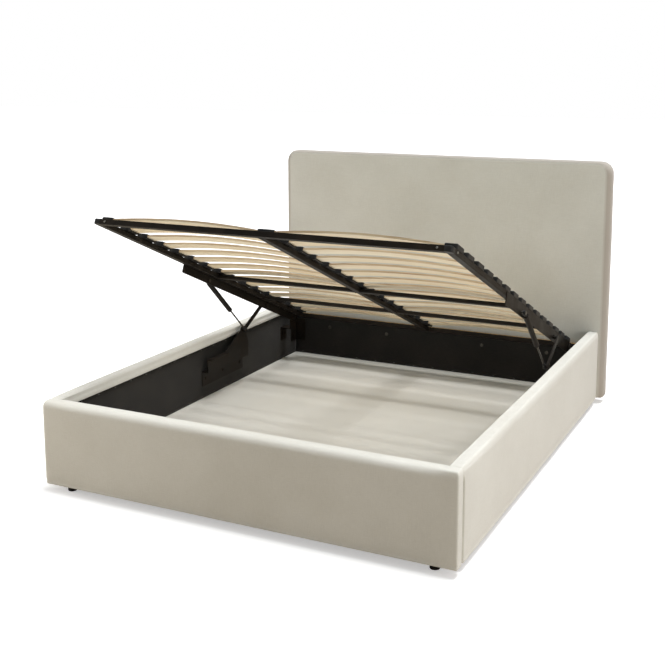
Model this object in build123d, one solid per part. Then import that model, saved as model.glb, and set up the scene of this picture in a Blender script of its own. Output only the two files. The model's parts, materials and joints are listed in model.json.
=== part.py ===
from build123d import *
import math
import os

# Upholstered ottoman bed frame with a lying surface of 160 x 200 cm, in millimetres.
# X runs across the bed, Y from the foot end to the headboard, Z up.
# The origin is on the floor under the middle of the bed. The slatted base
# is drawn raised, as far as its slotted stays let it go.

# The box of the bed
mattress_width = 1600
mattress_length = 2000
mattress_side_gap = 5
mattress_end_gap = 10
panel_thickness = 50
panel_height = 337
panel_edge_radius = 12
foot_height = 30

# Headboard
headboard_overhang = 30
headboard_height = 1170
headboard_thickness = 80
headboard_corner_radius = 58
headboard_edge_radius = 14
headboard_side_pad = 20
headboard_board_thickness = 30
back_cloth_thickness = 2

# Build of the upholstered panels: board, outer pad, inner flap and lining
outer_pad = 14
inner_pad = 12
top_pad = 18
flap_depth = 46
lining_thickness = 2

# Storage floor and the low board at its head end
floor_panel_thickness = 8
ledge_width = 25
ledge_height = 25
ledge_lift = 12
centre_beam_width = 40
centre_leg_count = 3
head_board_thickness = 24
head_board_drop = 70

# Feet
foot_diameter = 36
foot_rim_radius = 3
foot_inset = 95
foot_setback = 52

# Slatted base: steel tubes, and how they lie when the base is shut
frame_side_gap = 60
frame_foot_gap = 8
frame_head_gap = 98
frame_drop = 43
tube_width = 30
tube_height = 22
tube_wall = 2
tube_corner_radius = 3
cross_tube_width = 30
cross_tube_height = 16
cross_tube_front_reach = 970
cross_tube_rear_reach = 510
elbow_radius = 11
elbow_edge_radius = 4
elbow_tongue = 45
elbow_bolt_place = 25
elbow_bolt_length = 12

# Bowed slats in plastic holders
slat_count = 15
slat_width = 63
slat_thickness = 8
slat_bow = 20
slat_end_margin = 85
slat_seat = 30
holder_length = 75
holder_height = 20
holder_reach = 20
holder_floor = 4
holder_roof = 3
holder_wall = 3
holder_edge_radius = 5

# Lift mechanism: reaches from the rear hinge towards the foot end, depths below the base
lift_angle = 23.2
hinge_from_head = 76
hinge_depth = 15
hinge_pin_diameter = 10
hinge_head_diameter = 18
hinge_washer_diameter = 16
plate_thickness = 4
plate_reach = 1144
plate_depth = 36
plate_overlap = 18
plate_end_margin = 36
plate_corner_radius = 6
plate_bolt_margin = 40
plate_bolt_spacing = 140
strut_pin_reach = 910
strut_pin_depth = 20
stay_pin_depth = 18

# Lower pivot on the side rail, and the stay
lower_pivot_reach = 489
lower_pivot_drop = 20
pivot_pin_diameter = 8
pivot_head_diameter = 16
washer_diameter = 14
stay_length = 203
stay_width = 22
stay_thickness = 5

# Gas strut
cylinder_diameter = 23
cylinder_wall = 1
cylinder_cap = 6
rod_diameter = 8
rod_shown_length = 171
strut_end_gap = 12
eye_diameter = 22
eye_thickness = 8
eye_neck_diameter = 14
eye_neck_length = 25
strut_turn_share = 0.985

# Brackets on the side rails
bracket_thickness = 4
bracket_front_reach = 325
bracket_knee_reach = 170
bracket_rear_reach = 50
bracket_base_height = 66
bracket_depth = 142
bracket_head_radius = 20
bracket_lip = 24
bracket_foot_height = 70
bracket_bolt_margin = 30
hinge_bracket_width = 60
hinge_bracket_depth = 60

# Corner brackets and bolts
corner_bracket_leg = 60
corner_bracket_height = 120
corner_bracket_thickness = 3
corner_bracket_drop = 100
bolt_diameter = 6
bolt_head_diameter = 14
bolt_head_height = 3
bolt_grip = 14
small_bolt_diameter = 5
small_bolt_head = 8
headboard_bolt_diameter = 8
headboard_bolt_head = 18
headboard_bolt_grip = 18
headboard_bolt_drop = 60
headboard_bolt_shares = (0.33, 0.75)

# Clearances and cutting allowances
seam_gap = 0.3
plate_gap = 4
stay_gap = 3
strut_gap = 1.5
pin_clearance = 0.06
bolt_clearance = 0.2
slide_clearance = 0.5
overrun = 5
pick_tolerance = 0.01

# Planes and heights of the box that follow
inner_width = mattress_width + 2 * mattress_side_gap
inner_length = mattress_length + mattress_end_gap
bed_width = inner_width + 2 * panel_thickness
bed_length = panel_thickness + inner_length + headboard_thickness
headboard_width = bed_width + 2 * headboard_overhang
foot_front = -bed_length / 2
foot_inner = foot_front + panel_thickness
head_front = foot_inner + inner_length
head_back = head_front + headboard_thickness
rail_inner = inner_width / 2
rail_outer = bed_width / 2
rail_bottom = foot_height
rail_top = foot_height + panel_height
rail_end = head_front - seam_gap
board_top = rail_top - top_pad
flap_bottom = rail_top - flap_depth
rail_board_in = rail_inner + inner_pad
rail_board_out = rail_outer - outer_pad
foot_board_in = foot_inner - inner_pad
foot_board_out = foot_front + outer_pad
lining_in = rail_board_in - lining_thickness
foot_lining_in = foot_board_in + lining_thickness
head_board_back = head_front - seam_gap
head_board_front = head_board_back - head_board_thickness
head_lining_in = head_board_front - lining_thickness
head_board_top = rail_top - head_board_drop
ledge_bottom = rail_bottom + ledge_lift
ledge_top = ledge_bottom + ledge_height
floor_top = ledge_top + floor_panel_thickness
head_core_front = head_back - back_cloth_thickness - headboard_board_thickness

# Planes and places of the slatted base and its mechanism, with the base shut
frame_bottom = rail_top - frame_drop
frame_top = frame_bottom + tube_height
tube_middle = frame_bottom + tube_height / 2
frame_front = foot_inner + frame_foot_gap
frame_back = head_front - frame_head_gap
frame_side = rail_inner - frame_side_gap
tube_inside = frame_side - tube_width
slat_bottom = frame_top + holder_floor
hinge_y = frame_back - hinge_from_head
hinge_z = frame_bottom - hinge_depth
hinge_axis = Axis((0, hinge_y, hinge_z), (1, 0, 0))
lower_y = hinge_y - lower_pivot_reach
lower_z = rail_top - lower_pivot_drop
strut_pin_y = hinge_y - strut_pin_reach
strut_pin_z = frame_bottom - strut_pin_depth
stay_pin_z = frame_bottom - stay_pin_depth

# Layers of the mechanism, outwards from the side tube
plate_in = frame_side
plate_out = plate_in + plate_thickness
hinge_web_in = plate_out + plate_gap
hinge_web_out = hinge_web_in + bracket_thickness
strut_x = plate_out + strut_gap + cylinder_diameter / 2
eye_in = strut_x - eye_thickness / 2
eye_out = strut_x + eye_thickness / 2
stay_in = eye_out + stay_gap
stay_out = stay_in + stay_thickness
pivot_web_in = stay_out + stay_gap
pivot_web_out = pivot_web_in + bracket_thickness


def block(x_low, x_high, y_low, y_high, z_low, z_high):
    """A box between two opposite corners."""
    size = (x_high - x_low, y_high - y_low, z_high - z_low)
    middle = ((x_low + x_high) / 2, (y_low + y_high) / 2, (z_low + z_high) / 2)
    return Pos(*middle) * Box(*size)


def mirrored(shape):
    """The same piece on the left side of the bed."""
    return mirror(shape, about=Plane.YZ)


def group(pieces):
    """Separate solids kept together under one name."""
    solids = []
    for piece in pieces:
        solids.extend(piece.solids())
    return Compound(solids)


def both_sides(pieces):
    """A group of the right pieces and their left twins."""
    return group([*pieces, *[mirrored(piece) for piece in pieces]])


def cut(shape, tools):
    """The shape with every tool taken out of it."""
    for tool in tools:
        shape = shape - tool
    return shape


def bar(start, direction, radius, length):
    """A round bar from a point, along a direction."""
    upright = Cylinder(radius, length, align=(Align.CENTER, Align.CENTER, Align.MIN))
    return Plane(origin=start, z_dir=direction).location * upright


def bar_across(x_low, x_high, y, z, radius):
    """A round bar that runs across the bed between two planes."""
    return bar((x_low, y, z), (1, 0, 0), radius, x_high - x_low)


def bolt(start, direction, length, diameter=bolt_diameter, head=bolt_head_diameter):
    """A pan-head bolt: the head sits outside the start point, the shank runs inwards."""
    cap = Cylinder(head / 2, bolt_head_height, align=(Align.CENTER, Align.CENTER, Align.MAX))
    cap = fillet(cap.edges().sort_by(Axis.Z)[:1], bolt_head_height / 2)
    shank = Cylinder(diameter / 2, length, align=(Align.CENTER, Align.CENTER, Align.MIN))
    return Plane(origin=start, z_dir=direction).location * (cap + shank)


def bolt_hole(start, direction, length, diameter=bolt_diameter):
    """The hole for such a bolt, open at its mouth."""
    outwards = tuple(-part for part in direction)
    radius = diameter / 2 + bolt_clearance
    return bar(start, direction, radius, length + bolt_clearance) + bar(start, outwards, radius, overrun)


def tube_section(width, height):
    """The section of a rectangular steel tube with rounded edges."""
    inner_radius = tube_corner_radius - tube_wall
    outside = RectangleRounded(width, height, tube_corner_radius)
    return outside - RectangleRounded(width - 2 * tube_wall, height - 2 * tube_wall, inner_radius)


def tube_along_y(x_middle, z_middle, y_low, y_high, width, height):
    """A rectangular tube that runs along the bed."""
    plane = Plane(origin=(x_middle, y_low, z_middle), x_dir=(1, 0, 0), z_dir=(0, 1, 0))
    return extrude(plane * tube_section(width, height), y_high - y_low)


def tube_along_x(x_low, x_high, y_middle, z_middle, width, height):
    """A rectangular tube that runs across the bed."""
    plane = Plane(origin=(x_low, y_middle, z_middle), x_dir=(0, 1, 0), z_dir=(1, 0, 0))
    return extrude(plane * tube_section(width, height), x_high - x_low)


def raised(shape):
    """A piece of the slatted base, turned up about the rear hinge."""
    return shape.rotate(hinge_axis, -lift_angle)


def turned(y, z, angle):
    """A point turned about the rear hinge by an angle in degrees."""
    along = math.cos(math.radians(angle))
    across = math.sin(math.radians(angle))
    dy = y - hinge_y
    dz = z - hinge_z
    return hinge_y + dy * along - dz * across, hinge_z + dy * across + dz * along


def bearing(y, z):
    """The angle in degrees of a point seen from the lower pivot."""
    return math.degrees(math.atan2(z - lower_z, y - lower_y))


def from_lower_pivot(distance, angle):
    """The point at a distance and an angle in degrees from the lower pivot."""
    radians = math.radians(angle)
    return lower_y + distance * math.cos(radians), lower_z + distance * math.sin(radians)


# Where the bolts go: start point, direction and length of each on the right side

def lower_bracket_bolts():
    """Three bolts that hold the lower bracket to the side rail."""
    x = lining_in - bracket_thickness
    z = lower_z - bracket_depth - bracket_foot_height / 2
    first = lower_y - bracket_front_reach + bracket_bolt_margin
    last = lower_y + bracket_rear_reach - bracket_bolt_margin
    length = bracket_thickness + lining_thickness + bolt_grip
    return [((x, y, z), (1, 0, 0), length) for y in (first, (first + last) / 2, last)]


def hinge_bracket_bolts():
    """Two bolts that hold the rear hinge bracket to the side rail."""
    x = lining_in - bracket_thickness
    z = hinge_z - hinge_bracket_depth - bracket_foot_height / 2
    offset = hinge_bracket_width / 4
    length = bracket_thickness + lining_thickness + bolt_grip
    return [((x, hinge_y + side * offset, z), (1, 0, 0), length) for side in (-1, 1)]


def corner_bolt_heights():
    """The two heights of the bolts in a corner bracket."""
    top = rail_top - corner_bracket_drop
    return top - corner_bracket_height / 4, top - corner_bracket_height * 3 / 4


def corner_rail_bolts():
    """Bolts from the corner brackets into the side rail."""
    x = lining_in - corner_bracket_thickness
    length = corner_bracket_thickness + lining_thickness + bolt_grip
    foot_y = foot_inner + corner_bracket_leg / 2
    head_y = head_lining_in - corner_bracket_leg / 2
    return [((x, y, z), (1, 0, 0), length) for y in (foot_y, head_y) for z in corner_bolt_heights()]


def corner_foot_bolts():
    """Bolts from the front corner bracket into the footboard."""
    x = lining_in - corner_bracket_leg / 2
    y = foot_lining_in + corner_bracket_thickness
    length = corner_bracket_thickness + lining_thickness + bolt_grip
    return [((x, y, z), (0, -1, 0), length) for z in corner_bolt_heights()]


def corner_head_bolts():
    """Bolts from the rear corner bracket into the low head board."""
    x = lining_in - corner_bracket_leg / 2
    y = head_lining_in - corner_bracket_thickness
    length = corner_bracket_thickness + lining_thickness + bolt_grip
    return [((x, y, z), (0, 1, 0), length) for z in corner_bolt_heights()]


def headboard_bolts_right():
    """Long bolts from the storage through the low head board into the headboard."""
    z = head_board_top - headboard_bolt_drop
    length = head_core_front + headboard_bolt_grip - head_lining_in
    places = [rail_inner * share for share in headboard_bolt_shares]
    return [((x, head_lining_in, z), (0, 1, 0), length) for x in places]


def elbow_bolts_right():
    """Bolts that hold the corner elbow in the front rail and in the side tube."""
    across = (tube_inside - elbow_bolt_place, frame_front, tube_middle)
    along = (frame_side, frame_front + tube_width + elbow_bolt_place, tube_middle)
    return [(across, (0, 1, 0), elbow_bolt_length), (along, (-1, 0, 0), elbow_bolt_length)]


def plate_bolts_right():
    """Bolts that hold the upper plate to the side tube, heads inside the base."""
    first = hinge_y - plate_reach + plate_bolt_margin
    last = hinge_y + plate_end_margin - plate_bolt_margin
    places = (first, first + plate_bolt_spacing, last - 2 * plate_bolt_spacing, last - plate_bolt_spacing)
    length = tube_width + plate_thickness
    return [((tube_inside, y, tube_middle), (1, 0, 0), length) for y in places]


def cut_bolts(shape, bolts, diameter=bolt_diameter):
    """The shape with holes for a list of bolts."""
    return cut(shape, [bolt_hole(*place, diameter) for place in bolts])


# Headboard

def headboard_slab(inset, y_low, y_high):
    """A slab with the headboard's outline, drawn in at its top and sides."""
    height = headboard_height - inset
    face = Pos(0, height / 2) * Rectangle(headboard_width - 2 * inset, height)
    face = fillet(face.vertices().sort_by(Axis.Y)[-2:], headboard_corner_radius - inset)
    plane = Plane(origin=(0, y_high, rail_bottom), x_dir=(1, 0, 0), z_dir=(0, -1, 0))
    return extrude(plane * face, y_high - y_low)


def all_headboard_bolts():
    """The headboard bolts of both sides."""
    right = headboard_bolts_right()
    left = [((-start[0], start[1], start[2]), direction, length) for start, direction, length in right]
    return right + left


def headboard_upholstery():
    """The padded cover: front, sides and top, open at the back for the board."""
    cover = headboard_slab(0, head_front, head_back)
    near = head_front + pick_tolerance
    front = [edge for edge in cover.edges() if edge.center().Y < near]
    upper = [edge for edge in front if edge.center().Z > rail_bottom + pick_tolerance]
    cover = fillet(upper, headboard_edge_radius)
    cover = cover - headboard_slab(headboard_side_pad, head_core_front, head_back)
    return cut_bolts(cover, all_headboard_bolts(), headboard_bolt_diameter)


def headboard_board():
    """The board that carries the headboard's cover."""
    inset = headboard_side_pad + seam_gap
    board = headboard_slab(inset, head_core_front, head_back - back_cloth_thickness)
    return cut_bolts(board, all_headboard_bolts(), headboard_bolt_diameter)


def headboard_back_cloth():
    """The thin cloth that closes the headboard's back."""
    inset = headboard_side_pad + seam_gap
    return headboard_slab(inset, head_back - back_cloth_thickness, head_back)


# Footboard and side rails

def footboard_upholstery():
    """The padded cover of the footboard, with a flap over its inner side."""
    cover = block(-rail_outer, rail_outer, foot_front, foot_inner, rail_bottom, rail_top)
    edges = [edge for edge in cover.edges() if edge.center().Z > rail_bottom + pick_tolerance]
    cover = fillet(edges, panel_edge_radius)
    low = rail_bottom - overrun
    pocket = block(-rail_board_out, rail_board_out, foot_board_out, foot_board_in, low, board_top)
    inner = foot_inner + overrun
    open_side = block(-rail_board_in, rail_board_in, foot_board_out, inner, low, flap_bottom)
    return cut(cover, [pocket, open_side])


def footboard_board():
    """The board inside the footboard."""
    board = block(-rail_board_out, rail_board_out, foot_board_out, foot_board_in, rail_bottom, board_top)
    right = cut_bolts(board, corner_foot_bolts())
    return cut(right, [mirrored(bolt_hole(*place)) for place in corner_foot_bolts()])


def side_rail_upholstery():
    """The padded cover of the right side rail, with a flap over its inner side."""
    cover = block(rail_inner, rail_outer, foot_inner, rail_end, rail_bottom, rail_top)
    edges = [
        edge for edge in cover.edges()
        if edge.center().Z > rail_bottom + pick_tolerance and edge.center().Y > foot_inner + pick_tolerance
    ]
    cover = fillet(edges, panel_edge_radius)
    front = foot_inner - overrun
    low = rail_bottom - overrun
    pocket = block(rail_board_in, rail_board_out, front, rail_end - inner_pad, low, board_top)
    open_side = block(rail_inner - overrun, rail_board_in, front, rail_end + overrun, low, flap_bottom)
    return cut(cover, [pocket, open_side])


def side_rail_board():
    """The board inside the right side rail."""
    rear = rail_end - inner_pad
    board = block(rail_board_in, rail_board_out, foot_inner, rear, rail_bottom, board_top)
    return cut_bolts(board, lower_bracket_bolts() + hinge_bracket_bolts() + corner_rail_bolts())


# Storage: linings, floor, and the low board at the head end

def lining_foot():
    """The dark cloth on the inside of the footboard."""
    side = lining_in - seam_gap
    cloth = block(-side, side, foot_board_in, foot_lining_in, floor_top + seam_gap, flap_bottom - seam_gap)
    right = cut_bolts(cloth, corner_foot_bolts())
    return cut(right, [mirrored(bolt_hole(*place)) for place in corner_foot_bolts()])


def lining_side():
    """The dark cloth on the inside of the right side rail."""
    rear = head_board_front - seam_gap
    low = floor_top + seam_gap
    cloth = block(lining_in, rail_board_in, foot_inner, rear, low, flap_bottom - seam_gap)
    return cut_bolts(cloth, lower_bracket_bolts() + hinge_bracket_bolts() + corner_rail_bolts())


def cut_head_bolts(shape):
    """The shape with the holes of the rear corner bolts and the headboard bolts."""
    shape = cut_bolts(shape, all_headboard_bolts(), headboard_bolt_diameter)
    shape = cut_bolts(shape, corner_head_bolts())
    return cut(shape, [mirrored(bolt_hole(*place)) for place in corner_head_bolts()])


def lining_head():
    """The dark cloth on the front of the low head board."""
    side = lining_in - seam_gap
    low = floor_top + seam_gap
    cloth = block(-side, side, head_lining_in, head_board_front, low, head_board_top)
    return cut_head_bolts(cloth)


def head_cross_board():
    """The low board across the head end, between the side rails."""
    side = rail_board_in - seam_gap
    board = block(-side, side, head_board_front, head_board_back, rail_bottom, head_board_top)
    return cut_head_bolts(board)


def floor_ledges():
    """Battens round the storage that carry the floor panels."""
    inner = rail_board_in - ledge_width
    front = foot_board_in
    rear = head_board_front
    side = block(inner, rail_board_in, foot_inner, rear, ledge_bottom, ledge_top)
    foot = block(-inner, inner, front, front + ledge_width, ledge_bottom, ledge_top)
    head = block(-inner, inner, rear - ledge_width, rear, ledge_bottom, ledge_top)
    return group([side, mirrored(side), foot, head])


def centre_beam():
    """The batten under the middle of the storage floor."""
    half = centre_beam_width / 2
    front = foot_board_in + ledge_width
    rear = head_board_front - ledge_width
    return block(-half, half, front, rear, ledge_bottom, ledge_top)


def centre_legs():
    """Short legs under the centre beam."""
    front = foot_board_in + ledge_width
    rear = head_board_front - ledge_width
    step = (rear - front) / (centre_leg_count + 1)
    places = [front + step * (number + 1) for number in range(centre_leg_count)]
    return group([leg(0, y, ledge_bottom) for y in places])


def floor_panel(half, front, rear):
    """One of the four loose panels of the storage floor, on the right side."""
    outer = rail_board_in - seam_gap
    return block(half, outer, front, rear, ledge_top, floor_top)


def leg(x, y, height):
    """A round foot with a rounded rim, standing on the floor."""
    post = Pos(x, y, 0) * Cylinder(foot_diameter / 2, height, align=(Align.CENTER, Align.CENTER, Align.MIN))
    return fillet(post.edges().sort_by(Axis.Z)[:1], foot_rim_radius)


def feet():
    """Four feet, under the footboard's and the low head board's ends."""
    x = rail_outer - foot_inset
    front = foot_front + foot_setback
    rear = head_board_front + head_board_thickness / 2
    return both_sides([leg(x, front, foot_height), leg(x, rear, foot_height)])


# Corner brackets

def corner_brackets():
    """Steel angles in the four corners of the storage."""
    top = rail_top - corner_bracket_drop
    low = top - corner_bracket_height
    inner = lining_in - corner_bracket_thickness
    far = lining_in - corner_bracket_leg
    foot_face = foot_lining_in + corner_bracket_thickness
    foot = block(far, lining_in, foot_lining_in, foot_face, low, top)
    foot = foot + block(inner, lining_in, foot_lining_in, foot_inner + corner_bracket_leg, low, top)
    head_face = head_lining_in - corner_bracket_thickness
    head = block(far, lining_in, head_face, head_lining_in, low, top)
    head = head + block(inner, lining_in, head_lining_in - corner_bracket_leg, head_lining_in, low, top)
    foot = cut_bolts(foot, corner_foot_bolts() + corner_rail_bolts())
    head = cut_bolts(head, corner_head_bolts() + corner_rail_bolts())
    return both_sides([foot, head])


def corner_bolts():
    """The bolts of the four corner brackets."""
    places = corner_rail_bolts() + corner_foot_bolts() + corner_head_bolts()
    return both_sides([bolt(*place) for place in places])


def headboard_bolts():
    """The four long bolts that hold the headboard."""
    size = (headboard_bolt_diameter, headboard_bolt_head)
    return both_sides([bolt(*place, *size) for place in headboard_bolts_right()])


# Brackets of the lift mechanism, which stay on the side rails

def rail_foot(layer, front, rear, shelf):
    """The stepped foot that carries a bracket's web, in its layer, on the side rail."""
    low = shelf - bracket_foot_height
    step = block(layer, lining_in, front, rear, shelf, shelf + bracket_thickness)
    flange = block(lining_in - bracket_thickness, lining_in, front, rear, low, shelf + bracket_thickness)
    return step + flange


def web(layer, face):
    """A bracket's plate in its layer, from a face drawn along Y and Z."""
    return extrude(Plane.YZ.offset(layer) * face, bracket_thickness)


def lower_bracket():
    """The pressed bracket with the lower pivot, on the right side rail."""
    front = lower_y - bracket_front_reach
    rear = lower_y + bracket_rear_reach
    knee = lower_y - bracket_knee_reach
    shelf = lower_z - bracket_depth
    base = shelf + bracket_base_height
    head = bracket_head_radius
    outline = Polyline(
        (front, shelf), (front, base), (knee, base), (lower_y - head, lower_z),
        (lower_y + head, lower_z), (rear, base), (rear, shelf), close=True,
    )
    face = make_face(outline) + Pos(lower_y, lower_z) * Circle(head)
    lip = block(pivot_web_in - bracket_lip, pivot_web_in, front, knee, base - bracket_thickness, base)
    bracket = web(pivot_web_in, face) + rail_foot(pivot_web_in, front, rear, shelf) + lip
    radius = pivot_pin_diameter / 2 + pin_clearance
    bracket = bracket - bar_across(pivot_web_in - overrun, pivot_web_out + overrun, lower_y, lower_z, radius)
    return cut_bolts(bracket, lower_bracket_bolts())


def rear_hinge_bracket():
    """The bracket that holds the rear hinge pin, on the right side rail."""
    half = hinge_bracket_width / 2
    shelf = hinge_z - hinge_bracket_depth
    face = Pos(hinge_y, (shelf + hinge_z) / 2) * Rectangle(hinge_bracket_width, hinge_bracket_depth)
    face = face + Pos(hinge_y, hinge_z) * Circle(half)
    bracket = web(hinge_web_in, face) + rail_foot(hinge_web_in, hinge_y - half, hinge_y + half, shelf)
    radius = hinge_pin_diameter / 2 + pin_clearance
    bracket = bracket - bar_across(hinge_web_in - overrun, hinge_web_out + overrun, hinge_y, hinge_z, radius)
    return cut_bolts(bracket, hinge_bracket_bolts())


def bracket_bolts():
    """The bolts of the mechanism's brackets on both side rails."""
    return both_sides([bolt(*place) for place in lower_bracket_bolts() + hinge_bracket_bolts()])


def headed_pin(y, z, diameter, x_low, x_high, heads):
    """A pin across the bed with discs on it, each given by its two planes and diameter."""
    pin = bar_across(x_low, x_high, y, z, diameter / 2)
    for disc_low, disc_high, disc_diameter in heads:
        pin = pin + bar_across(disc_low, disc_high, y, z, disc_diameter / 2)
    return pin


def lower_pivot_pins():
    """The pins that carry the stay and the gas strut, riveted in the lower brackets."""
    start = eye_in - seam_gap - bolt_head_height
    discs = [
        (start, eye_in - seam_gap, pivot_head_diameter),
        (eye_out + seam_gap, stay_in - seam_gap, washer_diameter),
        (stay_out + seam_gap, pivot_web_in, washer_diameter),
    ]
    return both_sides([headed_pin(lower_y, lower_z, pivot_pin_diameter, start, pivot_web_out, discs)])


def rear_hinge_pins():
    """The pins on which the slatted base turns, riveted in the rear brackets."""
    low = plate_in - seam_gap - bolt_head_height
    high = hinge_web_out + bolt_head_height
    discs = [
        (low, plate_in - seam_gap, hinge_head_diameter),
        (plate_out + seam_gap, hinge_web_in, hinge_washer_diameter),
        (hinge_web_out, high, hinge_head_diameter),
    ]
    return both_sides([headed_pin(hinge_y, hinge_z, hinge_pin_diameter, low, high, discs)])


# Gas struts and slotted stays, drawn as the raised base holds them

def strut_top():
    """Where the strut's upper pin stands when the base is raised."""
    return turned(strut_pin_y, strut_pin_z, -lift_angle)


def strut_angles():
    """The strut's angle in degrees with the base raised, and its turn to the shut base."""
    opened = bearing(*strut_top())
    shut = bearing(strut_pin_y, strut_pin_z)
    full_circle = math.degrees(math.tau)
    return opened, (shut - opened) % full_circle * strut_turn_share


def strut_spans():
    """The distances between the strut's two pins, with the base raised and shut."""
    top_y, top_z = strut_top()
    opened = math.hypot(top_y - lower_y, top_z - lower_z)
    return opened, math.hypot(strut_pin_y - lower_y, strut_pin_z - lower_z)


def stay_reach(y, z):
    """The point of the stay pin's line that the stay reaches from a pivot at y and z."""
    rise = stay_pin_z - z
    return y + math.sqrt(stay_length ** 2 - rise ** 2), stay_pin_z


def stay_angles():
    """The stay's angle in degrees with the base raised, and its turn to the shut base."""
    opened = bearing(*turned(*stay_reach(*turned(lower_y, lower_z, lift_angle)), -lift_angle))
    shut = bearing(*stay_reach(lower_y, lower_z))
    return opened, shut - opened


def strut_direction(length=1):
    """A step along the raised strut, from its lower to its upper pin."""
    angle = math.radians(strut_angles()[0])
    return 0, length * math.cos(angle), length * math.sin(angle)


def strut_eye(y, z, direction):
    """A flat eye on a pin, with a round neck along the strut."""
    disc = bar_across(eye_in, eye_out, y, z, eye_diameter / 2)
    past_head = pivot_head_diameter / 2 + slide_clearance
    start = tuple(place + step * past_head for place, step in zip((strut_x, y, z), direction))
    neck = bar(start, direction, eye_neck_diameter / 2, eye_neck_length - past_head)
    radius = pivot_pin_diameter / 2 + pin_clearance
    return disc + neck - bar_across(eye_in - overrun, eye_out + overrun, y, z, radius)


def strut_rod_eye():
    """The eye at the rod's end, on the right lower pin."""
    return strut_eye(lower_y, lower_z, strut_direction())


def strut_rod():
    """The rod of the right gas strut, which ends short of the cap when the base is shut."""
    start = (strut_x, *from_lower_pivot(eye_neck_length, strut_angles()[0]))
    length = strut_spans()[1] - 2 * eye_neck_length - cylinder_cap - strut_end_gap
    return bar(start, strut_direction(), rod_diameter / 2, length)


def strut_cylinder_eye():
    """The eye at the cylinder's end, on the right upper pin."""
    return strut_eye(*strut_top(), strut_direction(-1))


def strut_cylinder():
    """The cylinder of the right gas strut, open at its mouth for the rod."""
    down = strut_direction(-1)
    top = (strut_x, *strut_top())
    start = tuple(place + step * eye_neck_length for place, step in zip(top, down))
    bore = tuple(place + step * (eye_neck_length + cylinder_cap) for place, step in zip(top, down))
    length = strut_spans()[0] - 2 * eye_neck_length - rod_shown_length
    body = bar(start, down, cylinder_diameter / 2, length)
    return body - bar(bore, down, cylinder_diameter / 2 - cylinder_wall, length)


def strut_upper_pins():
    """The pins that carry the gas struts' upper ends on the upper plates."""
    low = plate_in - bolt_head_height
    high = eye_out + seam_gap + bolt_head_height
    discs = [
        (low, plate_in, pivot_head_diameter),
        (plate_out, eye_in - seam_gap, washer_diameter),
        (eye_out + seam_gap, high, pivot_head_diameter),
    ]
    pin = headed_pin(strut_pin_y, strut_pin_z, pivot_pin_diameter, low, high, discs)
    return both_sides([raised(pin)])


def support_stay():
    """The right stay, with the pin that runs in the upper plate's slot."""
    angle = stay_angles()[0]
    middle = (stay_in, *from_lower_pivot(stay_length / 2, angle))
    top_y, top_z = from_lower_pivot(stay_length, angle)
    radians = math.radians(angle)
    plane = Plane(origin=middle, x_dir=(0, math.cos(radians), math.sin(radians)), z_dir=(1, 0, 0))
    stay = extrude(plane * SlotCenterToCenter(stay_length, stay_width), stay_thickness)
    radius = pivot_pin_diameter / 2 + pin_clearance
    stay = stay - bar_across(stay_in - overrun, stay_out + overrun, lower_y, lower_z, radius)
    low = plate_in - seam_gap - bolt_head_height
    discs = [
        (low, plate_in - seam_gap, pivot_head_diameter),
        (plate_out + seam_gap, stay_in, washer_diameter),
    ]
    return stay + headed_pin(top_y, top_z, pivot_pin_diameter, low, stay_in + stay_thickness, discs)


def stay_track():
    """The stay pin's places on the shut base's plane through the whole lift."""
    opened, turn = stay_angles()
    steps = 20
    track = []
    for step in range(steps + 1):
        share = step / steps
        y, z = from_lower_pivot(stay_length, opened + turn * share)
        track.append(turned(y, z, lift_angle * (1 - share)))
    return track


# Slatted base, drawn shut and then raised

def upper_plate():
    """The long plate under the right side tube, which carries the mechanism."""
    front = hinge_y - plate_reach
    rear = hinge_y + plate_end_margin
    low = frame_bottom - plate_depth
    high = frame_bottom + plate_overlap
    face = RectangleRounded(rear - front, high - low, plate_corner_radius)
    face = Pos((front + rear) / 2, (low + high) / 2) * face
    plate = extrude(Plane.YZ.offset(plate_in) * face, plate_thickness)
    hinge_radius = hinge_pin_diameter / 2 + pin_clearance
    pin_radius = pivot_pin_diameter / 2 + pin_clearance
    ends = (plate_in - overrun, plate_out + overrun)
    plate = plate - bar_across(*ends, hinge_y, hinge_z, hinge_radius)
    plate = plate - bar_across(*ends, strut_pin_y, strut_pin_z, pin_radius)
    return raised(cut_bolts(plate - stay_slot(), plate_bolts_right()))


def stay_slot():
    """The slot that the stay's pin needs in the upper plate."""
    track = stay_track()
    room = pivot_pin_diameter / 2 + slide_clearance
    y_low = min(y for y, z in track) - room
    y_high = max(y for y, z in track) + room
    z_low = min(z for y, z in track) - room
    z_high = max(z for y, z in track) + room
    face = RectangleRounded(y_high - y_low, z_high - z_low, room)
    face = Pos((y_low + y_high) / 2, (z_low + z_high) / 2) * face
    return extrude(Plane.YZ.offset(plate_in - overrun) * face, plate_thickness + 2 * overrun)


def plate_bolts():
    """The bolts of both upper plates."""
    return raised(both_sides([bolt(*place) for place in plate_bolts_right()]))


def frame_front_rail():
    """The tube across the foot end of the slatted base."""
    y = frame_front + tube_width / 2
    rail = tube_along_x(-tube_inside, tube_inside, y, tube_middle, tube_width, tube_height)
    hole = bolt_hole(*elbow_bolts_right()[0], small_bolt_diameter)
    return raised(cut(rail, [hole, mirrored(hole)]))


def frame_rear_rail():
    """The tube across the head end of the slatted base."""
    y = frame_back - tube_width / 2
    return raised(tube_along_x(-tube_inside, tube_inside, y, tube_middle, tube_width, tube_height))


def frame_side_tube():
    """The right side tube of the slatted base."""
    x = frame_side - tube_width / 2
    front = frame_front + tube_width
    tube = tube_along_y(x, tube_middle, front, frame_back, tube_width, tube_height)
    tube = tube - bolt_hole(*elbow_bolts_right()[1], small_bolt_diameter)
    return raised(cut_bolts(tube, plate_bolts_right()))


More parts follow.
